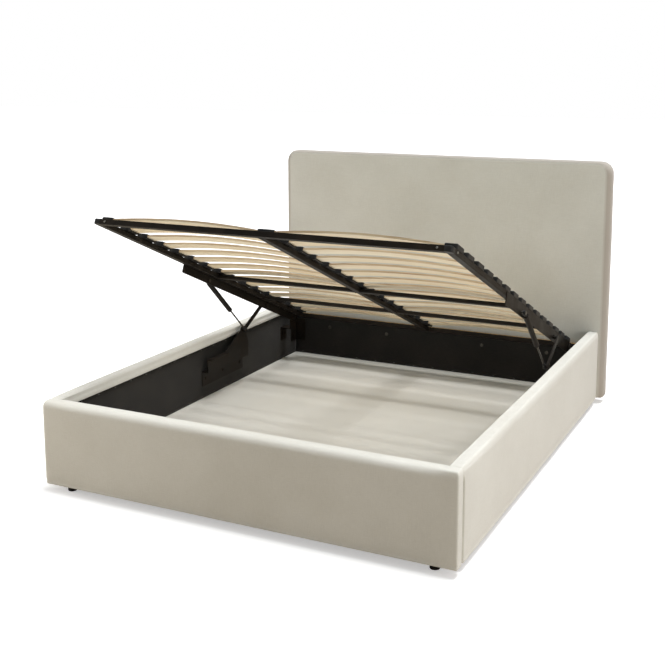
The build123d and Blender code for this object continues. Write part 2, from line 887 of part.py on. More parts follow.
def frame_centre_tube():
    """The tube along the middle of the slatted base."""
    front = frame_front + tube_width
    rear = frame_back - tube_width
    return raised(tube_along_y(0, tube_middle, front, rear, tube_width, tube_height))


def frame_cross_tube(reach):
    """A thin tube across the slatted base, in two halves beside the centre tube."""
    y = frame_back - reach + cross_tube_width / 2
    z = frame_bottom + cross_tube_height / 2
    half = tube_along_x(tube_width / 2, tube_inside, y, z, cross_tube_width, cross_tube_height)
    return raised(both_sides([half]))


def frame_elbows():
    """The rounded corner pieces between the front rail and the side tubes."""
    front = frame_front
    rear = frame_front + tube_width
    corner = block(tube_inside, frame_side, front, rear, frame_bottom, frame_top)
    outer = corner.edges().filter_by(Axis.Z).sort_by(lambda edge: edge.center().X - edge.center().Y)[-1:]
    corner = fillet(outer, elbow_radius)
    rims = corner.faces().sort_by(Axis.Z)[-1].edges() + corner.faces().sort_by(Axis.Z)[0].edges()
    shown = [
        edge for edge in rims
        if edge.center().X > tube_inside + pick_tolerance and edge.center().Y < rear - pick_tolerance
    ]
    corner = fillet(shown, elbow_edge_radius)
    slip = tube_wall + slide_clearance
    low = frame_bottom + slip
    high = frame_top - slip
    corner = corner + block(tube_inside - elbow_tongue, tube_inside, front + slip, rear - slip, low, high)
    corner = corner + block(tube_inside + slip, frame_side - slip, rear, rear + elbow_tongue, low, high)
    corner = cut_bolts(corner, elbow_bolts_right(), small_bolt_diameter)
    return raised(both_sides([corner]))


def elbow_bolts():
    """The bolts of both corner elbows."""
    size = (small_bolt_diameter, small_bolt_head)
    return raised(both_sides([bolt(*place, *size) for place in elbow_bolts_right()]))


def slat_places():
    """The middles of the slats along the bed, with the base shut."""
    first = frame_front + slat_end_margin
    last = frame_back - slat_end_margin
    pitch = (last - first) / (slat_count - 1)
    return [first + pitch * number for number in range(slat_count)]


def slats():
    """The right row of slats, each bowed upwards."""
    start = tube_width / 2 + holder_reach - slat_seat
    end = tube_inside - holder_reach + slat_seat
    middle = (start + end) / 2
    top = slat_bottom + slat_thickness
    under = ThreePointArc((start, slat_bottom), (middle, slat_bottom + slat_bow), (end, slat_bottom))
    over = ThreePointArc((end, top), (middle, top + slat_bow), (start, top))
    outline = [under, Line((end, slat_bottom), (end, top)), over, Line((start, top), (start, slat_bottom))]
    plane = Plane(origin=(0, slat_width / 2, 0), x_dir=(1, 0, 0), z_dir=(0, -1, 0))
    slat = extrude(plane * make_face(outline), slat_width)
    return raised(group([Pos(0, y, 0) * slat for y in slat_places()]))


def holder_pocket(x_low, x_high):
    """The pocket that takes a slat's end, round the origin along Y."""
    half = slat_width / 2 + slide_clearance
    low = slat_bottom - seam_gap
    high = frame_top + holder_height - holder_roof
    return block(x_low, x_high, -half, half, low, high)


def holder_body(x_low, x_high):
    """A plastic holder with rounded upper edges, round the origin along Y."""
    half = holder_length / 2
    body = block(x_low, x_high, -half, half, frame_top, frame_top + holder_height)
    edges = [edge for edge in body.edges() if edge.center().Z > frame_top + pick_tolerance]
    return fillet(edges, holder_edge_radius)


def side_holders():
    """The slat holders on the right side tube."""
    inner = tube_inside - holder_reach
    body = holder_body(inner, frame_side)
    body = body - holder_pocket(inner - overrun, inner + slat_seat + slide_clearance)
    return raised(group([Pos(0, y, 0) * body for y in slat_places()]))


def centre_holders():
    """The slat holders on the centre tube, open to both sides."""
    reach = tube_width / 2 + holder_reach
    body = holder_body(-reach, reach)
    pocket = holder_pocket(holder_wall, reach + overrun)
    body = cut(body, [pocket, mirrored(pocket)])
    return raised(group([Pos(0, y, 0) * body for y in slat_places()]))


def floor_panels():
    """The four panels of the storage floor, by name."""
    half = seam_gap / 2
    front = foot_board_in + seam_gap
    rear = head_board_front - seam_gap
    middle = (front + rear) / 2
    panels = {}
    for name, low, high in (("front", front, middle - half), ("rear", middle + half, rear)):
        panel = floor_panel(half, low, high)
        panels[f"floor_panel_{name}_right"] = panel
        panels[f"floor_panel_{name}_left"] = mirrored(panel)
    return panels


def paired_nodes():
    """The pieces that the bed has once on each side, by name without the side."""
    return {
        "side_rail_board": side_rail_board(),
        "side_rail_upholstery": side_rail_upholstery(),
        "lining": lining_side(),
        "lower_bracket": lower_bracket(),
        "rear_hinge_bracket": rear_hinge_bracket(),
        "upper_plate": upper_plate(),
        "frame_side_tube": frame_side_tube(),
        "slats": slats(),
        "slat_holders": side_holders(),
        "support_stay": support_stay(),
        "strut_rod": strut_rod(),
        "strut_rod_eye": strut_rod_eye(),
        "strut_cylinder": strut_cylinder(),
        "strut_cylinder_eye": strut_cylinder_eye(),
    }


def single_nodes():
    """The pieces and groups that lie on the bed's middle or belong to both sides."""
    return {
        "headboard_board": headboard_board(),
        "headboard_upholstery": headboard_upholstery(),
        "headboard_back_cloth": headboard_back_cloth(),
        "headboard_bolts": headboard_bolts(),
        "footboard_board": footboard_board(),
        "footboard_upholstery": footboard_upholstery(),
        "lining_foot": lining_foot(),
        "lining_head": lining_head(),
        "head_cross_board": head_cross_board(),
        "floor_ledges": floor_ledges(),
        "centre_beam": centre_beam(),
        "centre_legs": centre_legs(),
        "feet": feet(),
        "corner_brackets": corner_brackets(),
        "corner_bolts": corner_bolts(),
        "bracket_bolts": bracket_bolts(),
        "lower_pivot_pins": lower_pivot_pins(),
        "rear_hinge_pins": rear_hinge_pins(),
        "strut_upper_pins": strut_upper_pins(),
        "plate_bolts": plate_bolts(),
        "frame_front_rail": frame_front_rail(),
        "frame_rear_rail": frame_rear_rail(),
        "frame_centre_tube": frame_centre_tube(),
        "frame_cross_tube_front": frame_cross_tube(cross_tube_front_reach),
        "frame_cross_tube_rear": frame_cross_tube(cross_tube_rear_reach),
        "frame_elbows": frame_elbows(),
        "elbow_bolts": elbow_bolts(),
        "slat_holders_centre": centre_holders(),
    }


def main():
    """Write every node, and print the joints' places and ratios."""
    nodes = single_nodes()
    nodes.update(floor_panels())
    for name, piece in paired_nodes().items():
        nodes[f"{name}_right"] = piece
        nodes[f"{name}_left"] = mirrored(piece)
    os.makedirs("parts", exist_ok=True)
    for name, piece in nodes.items():
        export_step(piece, f"parts/{name}.step")
    print("nodes", len(nodes))
    print("hinge", hinge_y, hinge_z, "lower pivot", lower_y, lower_z, "strut top", strut_top())
    print("stay ratio", stay_angles()[1] / lift_angle, "strut ratio", strut_angles()[1] / lift_angle)


main()
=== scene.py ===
# %% [markdown]
# An ottoman bed frame, dressed from its construction model.
# The steel, the timber and the fasteners come in as fixed solids at their real size.
# This lesson gives every one of them its finish, and makes the cloth and the padding,
# because those are what a drawing of the construction can't show.

# %% Load the construction
import json
import math

import bmesh
import bpy
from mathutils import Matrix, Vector, noise

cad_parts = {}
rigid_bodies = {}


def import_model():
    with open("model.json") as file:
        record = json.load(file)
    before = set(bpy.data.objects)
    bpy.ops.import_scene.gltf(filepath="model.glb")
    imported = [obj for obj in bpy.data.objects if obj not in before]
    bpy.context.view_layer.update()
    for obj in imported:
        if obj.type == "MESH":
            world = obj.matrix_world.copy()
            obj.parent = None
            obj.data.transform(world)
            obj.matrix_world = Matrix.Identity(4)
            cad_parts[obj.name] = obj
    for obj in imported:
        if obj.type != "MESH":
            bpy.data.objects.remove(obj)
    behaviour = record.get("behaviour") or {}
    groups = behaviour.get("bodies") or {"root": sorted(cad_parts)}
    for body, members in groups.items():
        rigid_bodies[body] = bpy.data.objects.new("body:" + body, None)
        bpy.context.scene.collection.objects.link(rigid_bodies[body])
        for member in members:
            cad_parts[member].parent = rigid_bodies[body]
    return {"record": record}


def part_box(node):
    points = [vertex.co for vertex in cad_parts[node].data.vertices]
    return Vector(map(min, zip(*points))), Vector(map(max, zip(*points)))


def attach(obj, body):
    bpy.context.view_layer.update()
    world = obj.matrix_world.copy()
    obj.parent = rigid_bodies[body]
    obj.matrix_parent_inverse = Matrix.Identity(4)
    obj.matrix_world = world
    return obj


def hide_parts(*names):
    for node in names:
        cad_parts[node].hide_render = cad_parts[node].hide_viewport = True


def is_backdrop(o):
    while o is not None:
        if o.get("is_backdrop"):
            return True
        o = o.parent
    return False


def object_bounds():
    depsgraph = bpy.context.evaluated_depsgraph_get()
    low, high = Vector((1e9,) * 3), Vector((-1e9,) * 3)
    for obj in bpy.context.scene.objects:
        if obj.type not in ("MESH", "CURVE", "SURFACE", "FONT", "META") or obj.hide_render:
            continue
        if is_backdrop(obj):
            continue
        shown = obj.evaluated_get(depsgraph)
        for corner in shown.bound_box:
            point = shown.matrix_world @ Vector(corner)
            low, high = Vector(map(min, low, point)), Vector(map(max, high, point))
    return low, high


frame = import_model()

construction_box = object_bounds()
low, high = ([round(part, 3) for part in corner] for corner in construction_box)
print("construction from", low, "to", high)

# %% [markdown]
# The camera stands to the right of the foot end at about eye height and looks down a little.
# A long lens keeps the box's edges nearly parallel. The view is moved down by the lens shift
# and not by more tilt, so that upright edges stay upright.

# %% Camera
image_side = 665
focal_length_px = 1072.2
view_drop_px = 104
sensor_width = 36
camera_place = (1.9299, -4.189, 1.6521)
camera_turn = 0.4545
camera_tilt = 0.1499

camera_data = bpy.data.cameras.new("bed_view")
camera_data.sensor_width = sensor_width
camera_data.lens = focal_length_px / image_side * sensor_width
camera_data.shift_y = -view_drop_px / image_side
camera = bpy.data.objects.new("bed_view", camera_data)
camera.location = camera_place
camera.rotation_euler = (math.pi / 2 - camera_tilt, 0, camera_turn)
bpy.context.scene.collection.objects.link(camera)
bpy.context.scene.camera = camera
bpy.context.scene.view_settings.view_transform = "Standard"
print("lens", round(camera_data.lens, 1), "mm")

# %% [markdown]
# A finish is a small tree of shader nodes. A few helpers keep the trees short: one adds a
# node and fills its sockets, one starts a material with a shader whose plain numbers are set
# on the shader itself, and the others name the steps that most finishes share.

# %% Helpers for finishes
def add_node(tree, kind, values=None, **settings):
    """Add a shader node, set it up, and fill its sockets with numbers or links."""
    node = tree.nodes.new("ShaderNode" + kind)
    for name, value in settings.items():
        setattr(node, name, value)
    for socket, value in (values or {}).items():
        if isinstance(value, bpy.types.NodeSocket):
            tree.links.new(value, node.inputs[socket])
        else:
            node.inputs[socket].default_value = value
    return node


def start_finish(name, **numbers):
    """A material with one shader; returns the material, its tree and the shader."""
    material = bpy.data.materials.new(name)
    material.use_nodes = True
    tree = material.node_tree
    shader = tree.nodes["Principled BSDF"]
    for socket, value in numbers.items():
        shader.inputs[socket.replace("_", " ")].default_value = value
    return material, tree, shader


def screen_color(red, green, blue):
    """A colour as seen on a screen, from 0 to 255, as the linear colour of a shader."""
    linear = []
    for part in (red, green, blue):
        share = part / 255
        linear.append(share / 12.92 if share <= 0.04045 else ((share + 0.055) / 1.055) ** 2.4)
    return (*linear, 1)


def between(tree, factor, first, second):
    """A colour that goes from the first to the second as the factor goes from 0 to 1."""
    mix = add_node(tree, "Mix", {0: factor, 6: first, 7: second}, data_type="RGBA")
    return mix.outputs[2]


def spread(tree, value, low, high, new_low=0.0, new_high=1.0):
    """Stretch a value between low and high over a new range, held at its ends."""
    values = {"Value": value, "From Min": low, "From Max": high, "To Min": new_low, "To Max": new_high}
    return add_node(tree, "MapRange", values).outputs[0]


def cloud(tree, place, scale, detail=3.0, roughness=0.5):
    """Soft random clouds of a scale, from 0 to 1."""
    values = {"Vector": place, "Scale": scale, "Detail": detail, "Roughness": roughness}
    return add_node(tree, "TexNoise", values).outputs[0]


def stretched(tree, place, scale):
    """The place, squeezed or drawn out along the three axes."""
    return add_node(tree, "Mapping", {"Vector": place, "Scale": scale}).outputs[0]


def maths(tree, operation, first, second=0.0):
    """One sum on two values."""
    return add_node(tree, "Math", {0: first, 1: second}, operation=operation).outputs[0]


def relief(tree, shader, height, depth, under=None):
    """Raise and sink the surface by a height map, over another relief if there is one."""
    values = {"Height": height, "Distance": depth, "Strength": 1.0}
    if under:
        values["Normal"] = under
    bump = add_node(tree, "Bump", values).outputs[0]
    tree.links.new(bump, shader.inputs["Normal"])
    return bump


def added(tree, first, second):
    """The sum of two masks."""
    return maths(tree, "ADD", first, second)


def paint(tree, shader, tone, first, second):
    """Colour the surface from the first to the second colour as the tone goes from 0 to 1."""
    tree.links.new(between(tree, tone, first, second), shader.inputs["Base Color"])


def polish(tree, shader, mask, low, high, smooth, rough):
    """Make the surface rougher as the mask goes from low to high."""
    tree.links.new(spread(tree, mask, low, high, smooth, rough), shader.inputs["Roughness"])


def own_place(tree):
    """The place on the piece in metres, which moves with the piece."""
    return add_node(tree, "TexCoord").outputs["Object"]


print("helpers ready")

# %% [markdown]
# The cover cloth is a soft plain weave in a warm pale grey, with a short nap that brightens
# where it turns away. The weave could be an image, but threads made from three sine waves need
# none and no unwrapping: the cloth's own normal picks the two waves that cross on each face.

# %% Cover cloth
cover_color = screen_color(229, 227, 220)
cover_shade = screen_color(214, 211, 202)
thread_pitch = 0.0011


def crossing_threads(tree, place, pitch):
    """Height of a plain weave of a pitch on faces that look any way."""
    step = math.tau / pitch
    turns = add_node(tree, "VectorMath", {0: place, 1: (step, step, step)}, operation="MULTIPLY").outputs[0]
    waves = add_node(tree, "VectorMath", {0: turns}, operation="SINE").outputs[0]
    x, y, z = add_node(tree, "SeparateXYZ", {0: waves}).outputs
    crossed = [maths(tree, "MULTIPLY", *pair) for pair in ((y, z), (x, z), (x, y))]
    pairs = add_node(tree, "CombineXYZ", dict(enumerate(crossed))).outputs[0]
    facing = add_node(tree, "TexCoord").outputs["Normal"]
    weights = add_node(tree, "VectorMath", {0: facing, 1: facing}, operation="MULTIPLY").outputs[0]
    return add_node(tree, "VectorMath", {0: pairs, 1: weights}, operation="DOT_PRODUCT").outputs["Value"]


def cover_cloth(name, painted_shade=None):
    """Woven upholstery cloth with a soft nap; with a painted shade, faces turned sideways or up are painted
    darker.
    """
    material, tree, shader = start_finish(
        name, Roughness=0.92, Specular_IOR_Level=0.2, Sheen_Weight=0.35, Sheen_Roughness=0.45,
    )
    place = own_place(tree)
    threads = crossing_threads(tree, place, thread_pitch)
    brushed = cloud(tree, place, 3.2, 4.0, 0.55)
    slubs = cloud(tree, stretched(tree, place, (40, 40, 700)), 1.0, 2.0)
    rows = cloud(tree, stretched(tree, place, (700, 700, 40)), 1.0, 2.0)
    fibre = added(tree, slubs, rows)
    clouds = spread(tree, brushed, 0.3, 0.7, 0.0, 0.6)
    tone = added(tree, clouds, spread(tree, fibre, 0.7, 1.3, -0.15, 0.35))
    tone = added(tree, tone, spread(tree, threads, -1.0, 1.0, -0.12, 0.12))
    color = between(tree, spread(tree, tone, 0.0, 1.0), cover_color, cover_shade)
    # Painted shade: faces turned sideways or upwards are darkened towards the painted shade colour.
    if painted_shade:
        facing = add_node(tree, "TexCoord").outputs["Normal"]
        x, y, z = add_node(tree, "SeparateXYZ", {0: facing}).outputs
        painted_shade_mask = maths(tree, "MAXIMUM", maths(tree, "ABSOLUTE", x), z)
        color = between(tree, spread(tree, painted_shade_mask, 0.15, 0.5), color, painted_shade)
    tree.links.new(color, shader.inputs["Base Color"])
    nap = relief(tree, shader, cloud(tree, place, 160.0, 3.0), 0.0005)
    relief(tree, shader, threads, 0.00012, nap)
    return material


# %% [markdown]
# The storage is lined with thin black cloth of pressed fibres. Rolling it between hot
# rollers leaves a net of small dots, which a Voronoi texture would also give, but the
# same sine waves are cheaper. Loose fibres lighten it in streaks.

# %% Lining cloth
lining_dark = screen_color(25, 22, 20)
lining_light = screen_color(48, 44, 40)
dot_pitch = 0.003


def lining_cloth():
    """Black lining of pressed fibres, dotted and a little dusty."""
    material, tree, shader = start_finish(
        "lining_cloth", Roughness=0.88, Specular_IOR_Level=0.25, Sheen_Weight=0.12, Sheen_Roughness=0.5,
    )
    place = own_place(tree)
    dots = crossing_threads(tree, place, dot_pitch)
    fibres = cloud(tree, stretched(tree, place, (90, 90, 420)), 1.0, 5.0, 0.65)
    dust = cloud(tree, place, 5.0, 4.0)
    streaks = spread(tree, fibres, 0.35, 0.7, 0.0, 0.6)
    tone = added(tree, streaks, spread(tree, dust, 0.4, 0.75, 0.0, 0.5))
    paint(tree, shader, spread(tree, tone, 0.0, 1.1), lining_dark, lining_light)
    fluff = relief(tree, shader, fibres, 0.0006)
    relief(tree, shader, dots, 0.0002, fluff)
    return material


# %% [markdown]
# The slats are laminated birch. Their grain runs across the bed, so the clouds that make it
# are drawn out along X. Their long edges show the layers, darker and browner. The slats lie
# in the tilted base, so the edges are found by the direction that the base has when raised.

# %% Slat wood
def lift_range():
    """The hinge line of the lifting base and how far it turns."""
    for joint in frame["record"]["behaviour"]["joints"]:
        if joint["name"] == "base_lift":
            return Vector(joint["pos_m"]), math.radians(joint["range_deg"][1])


hinge_place, lift_angle = lift_range()
along_base = (0, math.cos(lift_angle), -math.sin(lift_angle))
birch_pale = screen_color(251, 240, 217)
birch_warm = screen_color(238, 217, 182)
birch_edge = screen_color(172, 136, 98)
top_painted_shade = screen_color(224, 208, 178)
top_painted_shade_warm = screen_color(212, 188, 148)
layer_height = 0.0016


def slat_wood():
    """Pale laminated birch with brown layered edges; its upper faces are painted darker than its
    undersides, as painted light and shade.
    """
    material, tree, shader = start_finish("slat_wood", Roughness=0.5, Specular_IOR_Level=0.4)
    place = own_place(tree)
    figure = cloud(tree, stretched(tree, place, (1.6, 34, 34)), 1.0, 5.0, 0.6)
    pores = cloud(tree, stretched(tree, place, (30, 900, 900)), 1.0, 2.0)
    strip = cloud(tree, stretched(tree, place, (0.4, 8.2, 8.2)), 1.0, 0.0)
    waves = spread(tree, figure, 0.35, 0.68, 0.0, 0.7)
    tone = added(tree, waves, spread(tree, pores, 0.4, 0.75, 0.0, 0.3))
    tone = added(tree, tone, spread(tree, strip, 0.35, 0.65, -0.3, 0.35))
    grain = spread(tree, tone, 0.0, 1.0)
    facing = add_node(tree, "TexCoord").outputs["Normal"]
    # Painted light and shade: the undersides keep the pale birch, and faces turned up are painted darker
    # and warmer.
    painted_top_mask = spread(tree, add_node(tree, "SeparateXYZ", {0: facing}).outputs["Z"], 0.2, 0.5)
    raw_color = between(tree, grain, birch_pale, birch_warm)
    face_color = between(tree, painted_top_mask, raw_color, between(tree, grain, top_painted_shade, top_painted_shade_warm))
    lengthways = add_node(tree, "VectorMath", {0: facing, 1: along_base}, operation="DOT_PRODUCT")
    on_edge = spread(tree, maths(tree, "ABSOLUTE", lengthways.outputs["Value"]), 0.55, 0.8)
    streaks = cloud(tree, stretched(tree, place, (4, 1 / layer_height, 1 / layer_height)), 1.0, 1.0)
    edge_color = between(tree, spread(tree, streaks, 0.3, 0.7), birch_edge, birch_warm)
    paint(tree, shader, on_edge, face_color, edge_color)
    polish(tree, shader, figure, 0.2, 0.8, 0.42, 0.58)
    relief(tree, shader, tone, 0.00025)
    return material


# %% [markdown]
# The rest of the timber never shows from outside: raw chip board in the panels, pine battens
# under the storage floor, and thin floor panels faced in pale grey, which throw light up
# at the slats. Chips are flat cells of a Voronoi texture in many tones of one wood.

# %% Board and batten
chip_light = screen_color(205, 172, 124)
chip_dark = screen_color(150, 112, 70)
pine_light = screen_color(226, 196, 146)
pine_dark = screen_color(186, 142, 92)
floor_pale = screen_color(238, 236, 229)
floor_worn = screen_color(220, 217, 208)


def chip_board():
    """Raw chip board: pressed flakes in many tones."""
    material, tree, shader = start_finish("chip_board", Roughness=0.85, Specular_IOR_Level=0.25)
    place = own_place(tree)
    flakes = add_node(tree, "TexVoronoi", {"Vector": stretched(tree, place, (170, 260, 170)), "Scale": 1.0})
    fine = cloud(tree, place, 900.0, 2.0)
    tone = add_node(tree, "SeparateColor", {0: flakes.outputs["Color"]}).outputs[0]
    tone = added(tree, tone, spread(tree, fine, 0.3, 0.7, -0.15, 0.15))
    paint(tree, shader, spread(tree, tone, 0.0, 1.0), chip_light, chip_dark)
    relief(tree, shader, flakes.outputs["Distance"], 0.0004)
    return material


def batten_pine():
    """Planed pine with long grain."""
    material, tree, shader = start_finish("batten_pine", Roughness=0.7, Specular_IOR_Level=0.3)
    place = own_place(tree)
    drawn = stretched(tree, place, (45, 3, 45))
    grain = cloud(tree, drawn, 1.0, 5.0, 0.6)
    waves = {"Vector": drawn, "Scale": 0.6, "Distortion": 6.0, "Detail": 2.0}
    rings = add_node(tree, "TexWave", waves).outputs[1]
    streaks = spread(tree, grain, 0.3, 0.7, 0.0, 0.5)
    tone = added(tree, streaks, spread(tree, rings, 0.0, 1.0, 0.0, 0.5))
    paint(tree, shader, tone, pine_light, pine_dark)
    relief(tree, shader, tone, 0.0003)
    return material


def floor_facing():
    """Thin floor panel faced in a pale grey with a fine pressed grain."""
    material, tree, shader = start_finish("floor_facing", Roughness=0.62, Specular_IOR_Level=0.35)
    place = own_place(tree)
    speck = cloud(tree, place, 520.0, 3.0, 0.7)
    worn = cloud(tree, place, 2.4, 4.0)
    specks = spread(tree, speck, 0.35, 0.7, 0.0, 0.6)
    tone = added(tree, specks, spread(tree, worn, 0.35, 0.7, 0.0, 0.4))
    paint(tree, shader, tone, floor_pale, floor_worn)
    polish(tree, shader, worn, 0.3, 0.7, 0.52, 0.7)
    relief(tree, shader, speck, 0.00025)
    return material


# %% [markdown]
# The steel of the base is powder coated: a warm black, half matt, with the fine orange peel
# that the powder leaves as it melts. Pins are zinc plated, the strut's rod is ground and
# nitrided black, and the holders, elbows and feet are moulded plastic with a faint texture.

# %% Metal and plastic
coat_black = screen_color(26, 22, 18)
coat_dusty = screen_color(50, 41, 33)
zinc_bright = screen_color(176, 175, 170)
zinc_dull = screen_color(128, 126, 119)
zinc_dark = screen_color(92, 89, 84)
zinc_darkest = screen_color(70, 67, 62)
rod_dark = screen_color(62, 57, 52)
rod_light = screen_color(96, 89, 82)
plastic_black = screen_color(24, 23, 23)
plastic_grey = screen_color(44, 42, 41)


def black_coat():
    """Black powder coat with fine peel, dust and light rubbing."""
    material, tree, shader = start_finish("black_coat", Roughness=0.5, Specular_IOR_Level=0.13)
    place = own_place(tree)
    peel = cloud(tree, place, 420.0, 2.0)
    dust = cloud(tree, place, 9.0, 5.0, 0.6)
    rubbed = cloud(tree, stretched(tree, place, (12, 160, 160)), 1.0, 4.0, 0.7)
    dusty = spread(tree, dust, 0.42, 0.8, 0.0, 0.6)
    tone = added(tree, dusty, spread(tree, rubbed, 0.58, 0.75, 0.0, 0.5))
    paint(tree, shader, tone, coat_black, coat_dusty)
    polish(tree, shader, dust, 0.3, 0.75, 0.4, 0.62)
    relief(tree, shader, peel, 0.00012)
    return material


def zinc_plate(name, bright, dull):
    """Zinc plating with dull clouds."""
    material, tree, shader = start_finish(name, Metallic=1.0)
    place = own_place(tree)
    clouds = cloud(tree, place, 240.0, 4.0)
    paint(tree, shader, spread(tree, clouds, 0.35, 0.65), bright, dull)
    polish(tree, shader, clouds, 0.3, 0.7, 0.22, 0.45)
    relief(tree, shader, cloud(tree, place, 1500.0, 2.0), 0.00003)
    return material


def nitrided_rod():
    """Black nitrided rod with the faint rings of its grinding."""
    material, tree, shader = start_finish("nitrided_rod", Metallic=1.0)
    place = own_place(tree)
    rings = cloud(tree, stretched(tree, place, (60, 900, 900)), 1.0, 2.0)
    paint(tree, shader, rings, rod_dark, rod_light)
    polish(tree, shader, rings, 0.3, 0.7, 0.2, 0.36)
    relief(tree, shader, rings, 0.00001)
    return material


def moulded_plastic():
    """Black moulded plastic with a faint spark texture."""
    material, tree, shader = start_finish("moulded_plastic", Roughness=0.45, Specular_IOR_Level=0.3)
    place = own_place(tree)
    spark = cloud(tree, place, 1100.0, 2.0)
    flow = cloud(tree, place, 30.0, 3.0)
    paint(tree, shader, spread(tree, flow, 0.35, 0.75), plastic_black, plastic_grey)
    polish(tree, shader, flow, 0.3, 0.7, 0.4, 0.56)
    relief(tree, shader, spark, 0.00008)
    return material


# %% [markdown]
# Every solid names the slot that its finish belongs to, so one table from slot to finish
# dresses them all; the bolts and pins of the mechanism get a darker zinc. A narrow
# bevel takes the knife edge off the timber, which catches a line of light as on real boards.

# %% Dress the solids
finishes = {
    "upholstery_fabric": cover_cloth("cover_cloth"),
    "lining_fabric": lining_cloth(),
    "panel_board": chip_board(),
    "floor_board": floor_facing(),
    "batten_wood": batten_pine(),
    "slat_birch": slat_wood(),
    "black_steel": black_coat(),
    "zinc_steel": zinc_plate("zinc_plate", zinc_bright, zinc_dull),
    "rod_steel": nitrided_rod(),
    "black_plastic": moulded_plastic(),
}
dark_zinc = zinc_plate("dark_zinc_plate", zinc_dark, zinc_darkest)
dark_zinc_nodes = ("headboard_bolts", "strut_upper_pins", "lower_pivot_pins", "rear_hinge_pins")
edge_bevels = {"slat_birch": 0.0014, "panel_board": 0.001, "batten_wood": 0.0015, "floor_board": 0.0018}
bevel_angle = math.radians(50)


def dress_solids():
    """Give every solid its finish and soften the edges of the timber."""
    for part in frame["record"]["subparts"]:
        solid = bpy.data.objects[part["node"]]
        finish = dark_zinc if part["node"] in dark_zinc_nodes else finishes[part["material_slot"]]
        for holder in solid.material_slots:
            holder.material = finish
        width = edge_bevels.get(part["material_slot"])
        if width:
            bevel = solid.modifiers.new("eased edges", "BEVEL")
            bevel.width = width
            bevel.segments = 2
            bevel.limit_method = "ANGLE"
            bevel.angle_limit = bevel_angle


dress_solids()

# %% [markdown]
# A padded cover is cloth pulled over foam and stapled out of sight. It is made here as a
# net of quads over the block that it wraps. Each point of the net is moved onto rounded
# edges by one rule: find the nearest point of a smaller core block, and stand off from it
# by the radius. That rounds edges and corners alike, and the net stays even. Then the net
# settles as cloth: springs along its threads, foam that holds every point softly in place
# and pushes it outwards, and staples that hold its edges.

# %% Helpers for padded covers
net_step = 0.016
millimetre = 0.001
settle_frames = 14
settle_most = 0.004
foam_hold = 0.35
cover_padding = 0.011
crown_reach = 0.05
pucker_reach = 0.035


def spaced(low, high, step, stops=()):
    """Places from low to high, about a step apart, with every stop among them."""
    marks = sorted({low, high, *[stop for stop in stops if low < stop < high]})
    places = [low]
    for first, last in zip(marks, marks[1:]):
        count = max(1, round((last - first) / step))
        places += [first + (last - first) * number / count for number in range(1, count + 1)]
    return places


def edge_marks(low, high, radius):
    """Extra places that let a net bend round both edges of a radius."""
    shares = (0.25, 0.5, 0.75, 1.0)
    return [low + radius * share for share in shares] + [high - radius * share for share in shares]


def wrap_block(lists, keep):
    """A net of quads over a block; keep(middle, axis, side) says which quads stay."""
    net = bmesh.new()
    made = {}
    last = [len(places) - 1 for places in lists]
    for axis in range(3):
        first, second = (axis + 1) % 3, (axis + 2) % 3
        for side, at in ((-1, 0), (1, last[axis])):
            for i in range(last[first]):
                for j in range(last[second]):
                    keys = []
                    for di, dj in ((0, 0), (1, 0), (1, 1), (0, 1)):
                        key = [0, 0, 0]
                        key[axis], key[first], key[second] = at, i + di, j + dj
                        keys.append(tuple(key))
                    if side < 0:
                        keys.reverse()
                    spots = [Vector(lists[n][key[n]] for n in range(3)) for key in keys]
                    middle = sum(spots, Vector()) / len(spots)
                    if not keep(middle, axis, side):
                        continue
                    for key, spot in zip(keys, spots):
                        if key not in made:
                            made[key] = net.verts.new(spot)
                    net.faces.new([made[key] for key in keys])
    return net


def stand_off(point, low, high, radii):
    """Move a point of a block onto rolled edges, and say which way it then faces."""
    core = Vector(min(max(part, least), most) for part, least, most in zip(point, low, high))
    away = Vector((part - near) / radius for part, near, radius in zip(point, core, radii))
    if away.length < 1e-9:
        return point, Vector()
    away.normalize()
    outwards = Vector(part / radius for part, radius in zip(away, radii)).normalized()
    return core + Vector(part * radius for part, radius in zip(away, radii)), outwards


def soft_height(point, seam_distance, crown, seed):
    """How far padding stands proud: full inside, drawn in at seams, never quite even."""
    rise = crown * (1 - math.exp(-seam_distance / crown_reach))
    slow = noise.noise(point * 3.1 + Vector((seed, 0, 0)))
    quick = noise.noise(point * 14 + Vector((0, seed, 0)))
    pucker = noise.noise(Vector((point.x * 42, point.y * 42, point.z * 9 + seed)))
    near_seam = math.exp(-seam_distance / pucker_reach)
    return rise + (0.9 * slow + 0.25 * quick) * millimetre + 0.5 * pucker * near_seam * millimetre


def new_piece(name, net, slot):
    """Make an object of a net, shaded smooth, in the finish of its slot."""
    mesh = bpy.data.meshes.new(name)
    net.to_mesh(mesh)
    net.free()
    piece = bpy.data.objects.new(name, mesh)
    bpy.context.scene.collection.objects.link(piece)
    mesh.polygons.foreach_set("use_smooth", [True] * len(mesh.polygons))
    mesh.materials.append(finishes[slot])
    return piece


def box_corners(node):
    """The lowest and the highest corner of a solid."""
    return (Vector(corner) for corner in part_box(node))


